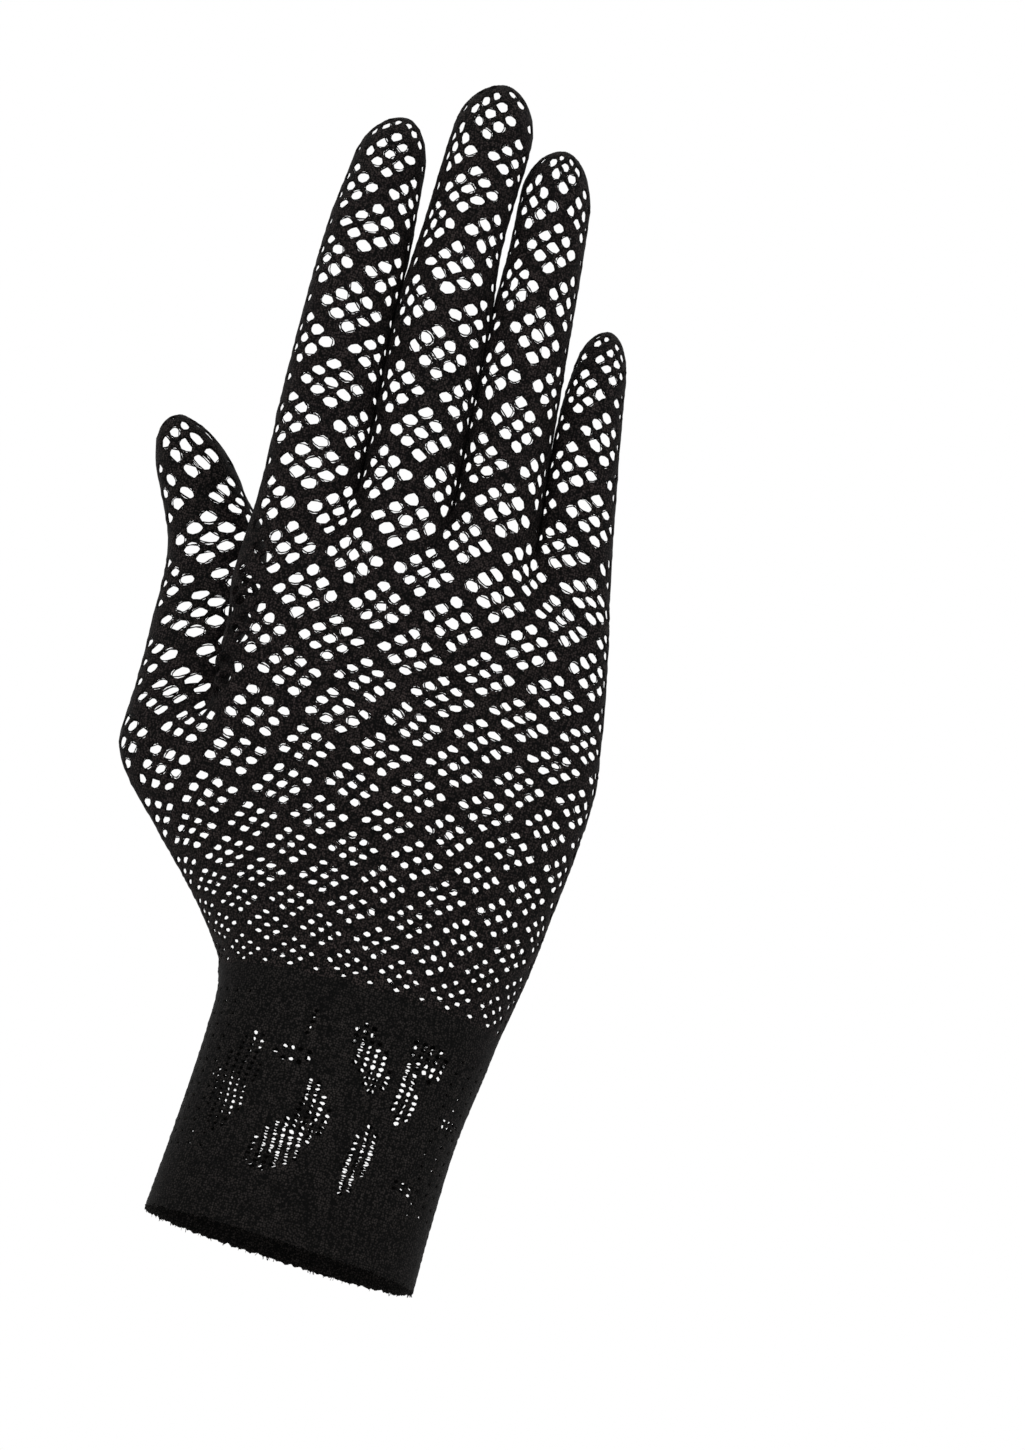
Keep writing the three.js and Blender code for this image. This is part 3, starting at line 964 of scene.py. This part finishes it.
        lower = [float(course) for course in range(THUMB_FORK + 1)]
        upper = [float(course) for course in range(THUMB_FORK, HAND_TOP + 1)]
        for layer in Layer:
            self.layer_grid(
                region, self.form.hand, opening(0), (0, LAST_WALE), lower, layer
            )
            self.layer_grid(
                region,
                self.form.hand,
                opening(THUMB_EDGE + 1),
                (THUMB_EDGE, LAST_WALE),
                upper,
                layer,
            )

    def add_tube(
        self, form: FingerForm, place_of: Callable[[Layer, float, float], Vector]
    ) -> None:
        """Adds a finger or the thumb.

        Args:
            form: Its form.
            place_of: Gives the point of a layer, wale and course.
        """
        courses = [float(course) for course in range(form.start, math.floor(form.end))]
        courses += [form.end - step for step in self.tip_steps]
        closed = form.end - self.chart.cap_courses

        def opening(wale: int, course: float) -> float:
            """Opened share of a stitch that keeps clear of the sides and the cap.

            Args:
                wale: Its column.
                course: Its row.

            Returns:
                The share of a cell, 0 where it is closed.
            """
            if not form.wales[0] < wale < form.wales[1] or course > closed:
                return 0.0
            share = self.chart.net_opening(wale, round(course), True)
            side = min(wale - form.wales[0], form.wales[1] - wale)
            return share * (self.chart.edge_sizes[side - 1] if side <= 2 else 1.0)

        for layer in Layer:
            self.layer_grid(
                lambda course: form.region, place_of, opening, form.wales, courses, layer
            )

    def join(self) -> None:
        """Makes the layers one tube, and closes the thumb's crotch."""
        mesh = self.mesh
        bmesh.ops.remove_doubles(mesh, verts=mesh.verts, dist=self.weld)
        edges = [e for e in mesh.edges if e.is_boundary]
        crotch = [e for e in edges if min(v.co.z for v in e.verts) > LACE_TOP]
        log.info("open edges above the cuff: %d", len(crotch))
        bmesh.ops.contextual_create(mesh, geom=crotch)
        for face in mesh.faces:
            face.smooth = True

    def pierce(self, steps: int = 5) -> None:
        """Opens the knit: each opened stitch becomes a gap between its four neighbours.

        Args:
            steps: Number of sizes of openings for each tenth of a cell.
        """
        groups: dict[int, list[bmesh.types.BMVert]] = {}
        for vert in self.mesh.verts:
            share = vert[self.opening]
            if share > 0 and len(vert.link_edges) == 4 and not vert.is_boundary:
                groups.setdefault(round(share * 10 * steps), []).append(vert)
        for key, verts in sorted(groups.items()):
            made = bmesh.ops.bevel(
                self.mesh,
                geom=verts,
                offset=key * 10 / steps,
                offset_type="PERCENT",
                affect="VERTICES",
                segments=1,
                profile=0.5,
                material=-1,
            )
            for face in made["faces"]:
                face[self.gap] = 1
                middle = face.calc_center_median()
                reaches = [(vert.co - middle).length for vert in face.verts]
                for vert in face.verts:
                    vert[self.centre] = middle
                    vert[self.reach] = sum(reaches) / len(reaches)
        self.threads = self.mesh.copy()
        gap = self.threads.faces.layers.int["gap"]
        fabric = [face for face in self.threads.faces if not face[gap]]
        bmesh.ops.delete(self.threads, geom=fabric, context="FACES")
        gaps = [face for face in self.mesh.faces if face[self.gap]]
        bmesh.ops.delete(self.mesh, geom=gaps, context="FACES_ONLY")
        hem = self.weld
        rims = [
            edge
            for edge in self.mesh.edges
            if edge.is_boundary and max(vert.co.z for vert in edge.verts) > hem
        ]
        cut = bmesh.ops.subdivide_edges(self.mesh, edges=rims, cuts=1)
        sides = {part for part in cut["geom_inner"] if isinstance(part, bmesh.types.BMVert)}
        for vert in sides | {vert for edge in rims for vert in edge.verts}:
            out = vert.co - vert[self.centre]
            share = self.net_round if vert.co.z > LACE_TOP else self.lace_round
            rounded = vert[self.reach] * share / out.length
            stray = 2 * scatter(vert.co.x, vert.co.z, 3) - 1
            vert.co = vert[self.centre] + out * (
                rounded**self.round_share * (1 + self.uneven * stray)
            )

    def fray(self, cuts: int = 3, bite: float = 0.9, below: float = 0.35) -> None:
        """Gives the cut edge of the hem its fine teeth.

        Args:
            cuts: Teeth added between two wales.
            bite: Height of the deepest tooth in millimetres.
            below: Share of a tooth that hangs below the edge.
        """
        rim = [
            edge
            for edge in self.mesh.edges
            if edge.is_boundary and max(vert.co.z for vert in edge.verts) < self.weld
        ]
        cut = bmesh.ops.subdivide_edges(self.mesh, edges=rim, cuts=cuts)
        teeth = [part for part in cut["geom_inner"] if isinstance(part, bmesh.types.BMVert)]
        for number, vert in enumerate(teeth):
            vert.co.z += bite * (scatter(number, 5) ** 2 - below)

    def twist_threads(
        self,
        least: float = 0.62,
        most: float = 1.02,
        bias: float = 0.6,
        thickness: float = 0.23,
    ) -> None:
        """Turns the outline of each gap of the net into a loose filament just inside it.

        Args:
            least: Smallest reach of a filament's loop, as a share of its gap.
            most: Its greatest reach.
            bias: Power that draws the reaches to the greatest: smaller draws more.
            thickness: Thickness of a filament in millimetres.
        """
        loops = self.threads
        lace = [face for face in loops.faces if face.calc_center_median().z < LACE_TOP]
        bmesh.ops.delete(loops, geom=lace, context="FACES")
        bmesh.ops.subdivide_edges(loops, edges=loops.edges, cuts=1)
        bmesh.ops.smooth_vert(
            loops, verts=loops.verts, factor=0.5, use_axis_x=True, use_axis_y=True,
            use_axis_z=True,
        )
        # The bevel lists the gaps in another order on each run, and the numbers follow it
        for number, face in enumerate(loops.faces):
            centre = face.calc_center_median()
            for place, vert in enumerate(face.verts):
                share = least + (most - least) * scatter(number, place, 8) ** bias
                vert.co = centre + (vert.co - centre) * share
        bmesh.ops.wireframe(
            loops,
            faces=loops.faces,
            thickness=thickness,
            offset=0.0,
            use_replace=True,
            use_boundary=True,
            use_even_offset=False,
        )

    def loose_ends(
        self,
        count: int = 110,
        radius: float = 0.07,
        lengths: tuple[float, float] = (0.5, 1.3),
        leans: tuple[float, float] = (0.6, 0.4),
    ) -> None:
        """Adds short cut yarn ends along the hem.

        Args:
            count: Number of ends.
            radius: Half width of a yarn end in millimetres.
            lengths: Shortest and longest end in millimetres.
            leans: Greatest lean to the side and outwards, in radians.
        """
        chance = Random(7)
        for _ in range(count):
            layer = chance.choice(list(Layer))
            place = self.form.cuff(layer, chance.uniform(0, LAST_WALE), 0.0)
            length = chance.uniform(*lengths)
            aside, out = (chance.uniform(-most, most) for most in leans)
            lean = Matrix.Rotation(aside, 4, "Y") @ Matrix.Rotation(out, 4, "X")
            made = bmesh.ops.create_cone(
                self.threads,
                cap_ends=True,
                segments=5,
                radius1=radius * 0.5,
                radius2=radius,
                depth=length,
                matrix=Matrix.Translation(place) @ lean,
            )
            for face in {face for vert in made["verts"] for face in vert.link_faces}:
                face.material_index = Region.HEM.value

    def to_metres(self) -> None:
        """Turns the cage and its threads from millimetres to metres."""
        for part in (self.mesh, self.threads):
            bmesh.ops.scale(part, vec=Vector((MM, MM, MM)), verts=part.verts)


def srgb(code: str) -> tuple[float, float, float, float]:
    """Turns an sRGB hex colour to linear.

    Args:
        code: Colour as in "#1a1a1b".

    Returns:
        Linear red, green, blue and full opacity.
    """
    parts = [int(code[n : n + 2], 16) / 255 for n in (1, 3, 5)]
    linear = [c / 12.92 if c <= 0.04045 else ((c + 0.055) / 1.055) ** 2.4 for c in parts]
    return (linear[0], linear[1], linear[2], 1.0)


def add_node(
    tree: bpy.types.NodeTree, kind: str, links: dict[str | int, object], **settings: object
) -> bpy.types.Node:
    """Adds one node to a material.

    Args:
        tree: The material's node tree.
        kind: Type of the node.
        links: Input name to a value, or to an output that feeds it.
        settings: Properties of the node.

    Returns:
        The new node.
    """
    node = tree.nodes.new(kind)
    for name, value in settings.items():
        setattr(node, name, value)
    for name, value in links.items():
        socket = node.inputs[name]
        if isinstance(value, bpy.types.NodeSocket):
            tree.links.new(value, socket)
        else:
            socket.default_value = value
    return node


@dataclass(frozen=True)
class KnitFinish:
    """Black polyamide yarn, knitted.

    Attributes:
        name: Name of the material.
        slot: Name of a material slot, not used.
        dark: Near-black of the yarn, which also stands for painted shade between the stitches.
        light: Painted highlight on the stitches that face the light.
        stitch_mm: Size of one stitch loop.
        yarn_mm: Size of the yarn's own unevenness.
        patch_mm: Size of looser and tighter places of the knit.
        depth_mm: Depth of the relief.
        roughness: Lowest and highest roughness.
    """

    name: str
    slot: str
    dark: str = "#010101"
    light: str = "#2f2928"
    stitch_mm: float = 0.45
    yarn_mm: float = 0.16
    patch_mm: float = 1.8
    depth_mm: float = 0.12
    roughness: tuple[float, float] = (0.62, 0.9)

    def material(self) -> bpy.types.Material:
        """Builds the material.

        Returns:
            The material, with its colour, painted highlights and shade, relief and roughness
            from one set of loops.
        """
        made = bpy.data.materials.new(self.name)
        made.use_nodes = True
        tree = made.node_tree
        tree.nodes.clear()
        place = add_node(tree, "ShaderNodeTexCoord", {}).outputs["Object"]
        # Loops of the knit: a cell for each stitch, dark in its middle
        size = 1 / (self.stitch_mm * MM)
        sockets = {"Vector": place, "Scale": size, "Randomness": 0.7}
        loops = add_node(tree, "ShaderNodeTexVoronoi", sockets)
        # The yarn's crimp and loose filaments
        sockets = {"Vector": place, "Scale": 1 / (self.yarn_mm * MM), "Detail": 3.0}
        yarn = add_node(tree, "ShaderNodeTexNoise", sockets)
        # Each loop's top stands out in relief, and in colour as a painted highlight over
        # painted shade between the loops
        sockets = {"Value": loops.outputs["Distance"], "From Min": 0.1, "From Max": 0.62}
        sockets.update({"To Min": 1.0, "To Max": 0.0})
        crown = add_node(tree, "ShaderNodeMapRange", sockets)
        sockets = {0: crown.outputs["Result"], 1: yarn.outputs["Fac"]}
        relief = add_node(tree, "ShaderNodeMath", sockets, operation="MULTIPLY")
        # Looser and tighter places of the knit
        sockets = {"Vector": place, "Scale": 1 / (self.patch_mm * MM), "Detail": 2.0}
        places = add_node(tree, "ShaderNodeTexNoise", sockets)
        sockets = {0: relief.outputs["Value"], 1: places.outputs["Fac"]}
        share = add_node(tree, "ShaderNodeMath", sockets, operation="MULTIPLY")
        sockets = {"Value": share.outputs["Value"], "From Min": 0.02, "From Max": 0.32}
        spread = add_node(tree, "ShaderNodeMapRange", sockets)
        # Painted highlight on the loop tops over near-black yarn and painted shade between
        # them: sockets 6 and 7 of a colour mix are its two colours, and output 2 is the mixed
        # one
        sockets = {"Factor": spread.outputs["Result"]}
        painted_highlight_mix = add_node(tree, "ShaderNodeMix", sockets, data_type="RGBA")
        painted_highlight_mix.inputs[6].default_value = srgb(self.dark)
        painted_highlight_mix.inputs[7].default_value = srgb(self.light)
        low, high = self.roughness
        sockets = {"Value": yarn.outputs["Fac"], "To Min": low, "To Max": high}
        rough = add_node(tree, "ShaderNodeMapRange", sockets)
        sockets = {"Height": relief.outputs["Value"], "Distance": self.depth_mm * MM}
        bump = add_node(tree, "ShaderNodeBump", sockets)
        shader = add_node(
            tree,
            "ShaderNodeBsdfPrincipled",
            {
                "Base Color": painted_highlight_mix.outputs[2],
                "Roughness": rough.outputs["Result"],
                "Normal": bump.outputs["Normal"],
                "IOR": 1.53,
                "Specular IOR Level": 0.04,
                "Sheen Weight": 0.005,
                "Sheen Roughness": 0.5,
            },
        )
        add_node(tree, "ShaderNodeOutputMaterial", {"Surface": shader.outputs["BSDF"]})
        return made


# Openwork net of textured polyamide yarn: matt near-black, speckled with painted highlights on
# its loop tops, uneven from loop to loop
NET_KNIT = KnitFinish("knitted_net_black_polyamide", "net_knit")
# Close jacquard of the same yarn: flatter and more even, with dimmer painted highlights
LACE_KNIT = KnitFinish(
    "jacquard_lace_black_polyamide", "lace_knit", light="#242120", depth_mm=0.08
)
# Plain close knit at the wrist and the hem, with dimmer painted highlights
PLAIN_KNIT = KnitFinish(
    "plain_knit_black_polyamide", "plain_knit", light="#221f1e", depth_mm=0.08
)


@dataclass
class Glove:
    """The glove as pieces of fabric.

    Attributes:
        thickness: Thickness of the fabric in millimetres.
        rounding: Levels of rounding of the strands.
        fuzz: How uneven the yarn's surface is, in millimetres.
        fuzz_seed: Seed of that unevenness.
    """

    thickness: float = 0.44
    rounding: int = 1
    fuzz: float = 0.045
    fuzz_seed: int = 11

    def fabric(self) -> bpy.types.Mesh:
        """Knits the whole glove.

        Returns:
            The fabric with its thickness, rounding and threads, regions by material slot.
        """
        cage = KnittedCage()
        cage.add_cuff()
        cage.add_hand()
        cage.add_tube(THUMB, cage.form.thumb)
        for place, form in enumerate(FINGERS):
            cage.add_tube(
                form,
                lambda layer, wale, course, place=place: cage.form.finger(
                    place, layer, wale, course
                ),
            )
        cage.join()
        cage.pierce()
        cage.fray()
        cage.twist_threads()
        cage.loose_ends()
        cage.to_metres()
        mesh = bpy.data.meshes.new("knitted_glove")
        cage.mesh.to_mesh(mesh)
        cage.mesh.free()
        for region in Region:
            mesh.materials.append(None)
        whole = bpy.data.objects.new("knitted_glove", mesh)
        bpy.context.scene.collection.objects.link(whole)
        wall = whole.modifiers.new("fabric", "SOLIDIFY")
        wall.thickness = self.thickness * MM
        wall.offset = 0.0
        rounding = whole.modifiers.new("strands", "SUBSURF")
        rounding.levels = self.rounding
        rounding.render_levels = self.rounding
        shaped = whole.evaluated_get(bpy.context.evaluated_depsgraph_get())
        rounded = bpy.data.meshes.new_from_object(shaped)
        bpy.data.objects.remove(whole)
        joined = bmesh.new()
        joined.from_mesh(rounded)
        cage.threads.to_mesh(mesh)
        cage.threads.free()
        joined.from_mesh(mesh)
        joined.to_mesh(rounded)
        joined.free()
        places = np.empty(len(rounded.vertices) * 3)
        rounded.vertices.foreach_get("co", places)
        draws = np.random.default_rng(self.fuzz_seed)
        places += draws.normal(0, self.fuzz * MM, places.size)
        rounded.vertices.foreach_set("co", places)
        rounded.update()
        return rounded

    def pieces(self) -> dict[Region, bpy.types.Object]:
        """Divides the finished fabric into its regions.

        Returns:
            One object for each region.
        """
        mesh = self.fabric()
        normals = [vert.normal.copy() for vert in mesh.vertices]
        found = {}
        for region in Region:
            part = bmesh.new()
            part.from_mesh(mesh)
            number = part.verts.layers.int.new("number")
            for vert in part.verts:
                vert[number] = vert.index
            others = [face for face in part.faces if face.material_index != region.value]
            bmesh.ops.delete(part, geom=others, context="FACES")
            order = [vert[number] for vert in part.verts]
            part.verts.layers.int.remove(number)
            for face in part.faces:
                face.material_index = 0
            own = bpy.data.meshes.new(region.name.lower())
            part.to_mesh(own)
            part.free()
            own.normals_split_custom_set_from_vertices([normals[n] for n in order])
            found[region] = bpy.data.objects.new(region.name.lower(), own)
            bpy.context.scene.collection.objects.link(found[region])
        return found

    def build(self) -> None:
        """Makes every piece, with its finish and the CAD node it stands for."""
        finishes = {
            Region.HEM: PLAIN_KNIT,
            Region.BAND: PLAIN_KNIT,
            Region.LACE: LACE_KNIT,
        }
        nodes = {
            Region.HEM: "cut_hem",
            Region.LACE: "lace_cuff",
            Region.BAND: "wrist_band",
            Region.LOWER_HAND: "hand_net",
            Region.UPPER_HAND: "hand_net",
            Region.THUMB: "thumb",
        }
        nodes.update({form.region: form.node for form in FINGERS})
        materials = {
            finish: finish.material() for finish in (NET_KNIT, LACE_KNIT, PLAIN_KNIT)
        }
        for region, piece in self.pieces().items():
            finish = finishes.get(region, NET_KNIT)
            piece.data.materials.clear()
            piece.data.materials.append(materials[finish])
            piece.name = "knit_" + region.name.lower()
            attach(piece, "root")
            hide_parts(nodes[region])
            triangles = sum(len(face.vertices) - 2 for face in piece.data.polygons)
            log.info("%s: %d triangles", piece.name, triangles)


@dataclass
class Studio:
    """White studio with soft light, and the camera as in the photograph.

    Attributes:
        centre: Point of the glove in the middle of the picture, in millimetres.
        height: Height of the picture at the glove, in millimetres.
        distance: Distance of the camera, in millimetres.
        elevation: Elevation of the camera in degrees.
        roll: Lean of the glove to the right, in degrees.
        floor: Height of the floor in millimetres.
    """

    centre: tuple[float, float, float] = (11.6, -10.0, 111.0)
    height: float = 282.75
    distance: float = 2000.0
    elevation: float = -9.0
    roll: float = 18.0
    floor: float = -330.0

    def camera(self) -> None:
        """Adds the camera."""
        rise = math.radians(self.elevation)
        roll = math.radians(self.roll)
        look = Vector((0.0, math.cos(rise), -math.sin(rise)))
        across = Vector((1.0, 0.0, 0.0))
        up = Vector((0.0, math.sin(rise), math.cos(rise)))
        right = across * math.cos(roll) + up * math.sin(roll)
        top = up * math.cos(roll) - across * math.sin(roll)
        data = bpy.data.cameras.new("camera")
        data.sensor_fit = "VERTICAL"
        data.sensor_height = 24.0
        data.lens = self.distance * data.sensor_height / self.height
        data.clip_start = 0.05
        data.clip_end = 50.0
        made = bpy.data.objects.new("camera", data)
        place = (Vector(self.centre) - look * self.distance) * MM
        axes = Matrix((right, top, -look)).transposed().to_4x4()
        made.matrix_world = Matrix.Translation(place) @ axes
        bpy.context.scene.collection.objects.link(made)
        bpy.context.scene.camera = made

    def light(
        self, name: str, place: tuple[float, float, float], size: float, power: float
    ) -> None:
        """Adds one soft square light that faces the glove.

        Args:
            name: Name of the light.
            place: Where it stands, in metres.
            size: Length of its side in metres.
            power: Its power in watts.
        """
        data = bpy.data.lights.new(name, "AREA")
        data.size = size
        data.energy = power
        made = bpy.data.objects.new(name, data)
        towards = Vector(self.centre) * MM - Vector(place)
        turn = towards.to_track_quat("-Z", "Y").to_matrix().to_4x4()
        made.matrix_world = Matrix.Translation(place) @ turn
        bpy.context.scene.collection.objects.link(made)

    def build(self) -> None:
        """Builds floor, background, lights and camera."""
        scene = bpy.context.scene
        world = bpy.data.worlds.new("white_studio")
        world.use_nodes = True
        background = world.node_tree.nodes["Background"]
        background.inputs["Color"].default_value = (1.0, 1.0, 1.0, 1.0)
        background.inputs["Strength"].default_value = 1.0
        scene.world = world
        scene.view_settings.view_transform = "Standard"
        ground = bmesh.new()
        bmesh.ops.create_grid(ground, x_segments=1, y_segments=1, size=1.5)
        bmesh.ops.translate(ground, verts=ground.verts, vec=(0, 0, self.floor * MM))
        mesh = bpy.data.meshes.new("floor")
        ground.to_mesh(mesh)
        ground.free()
        floor = bpy.data.objects.new("floor", mesh)
        scene.collection.objects.link(floor)
        paper = bpy.data.materials.new("matt_white_paper")
        paper.use_nodes = True
        shader = paper.node_tree.nodes["Principled BSDF"]
        grain = add_node(paper.node_tree, "ShaderNodeTexNoise", {"Scale": 60.0})
        rough = add_node(
            paper.node_tree,
            "ShaderNodeMapRange",
            {"Value": grain.outputs["Fac"], "To Min": 0.8, "To Max": 0.95},
        )
        paper.node_tree.links.new(rough.outputs["Result"], shader.inputs["Roughness"])
        shader.inputs["Base Color"].default_value = srgb("#f4f3f1")
        mesh.materials.append(paper)
        self.light("key_light", (-0.7, -1.1, 0.9), 0.9, 14.0)
        self.light("fill_light", (0.9, -0.9, 0.3), 0.9, 6.0)
        self.camera()


def main() -> None:
    """Builds the studio and the glove."""
    logging.basicConfig(level=logging.INFO, format="%(message)s")
    Studio().build()
    Glove().build()


if __name__ == "__main__":
    main()
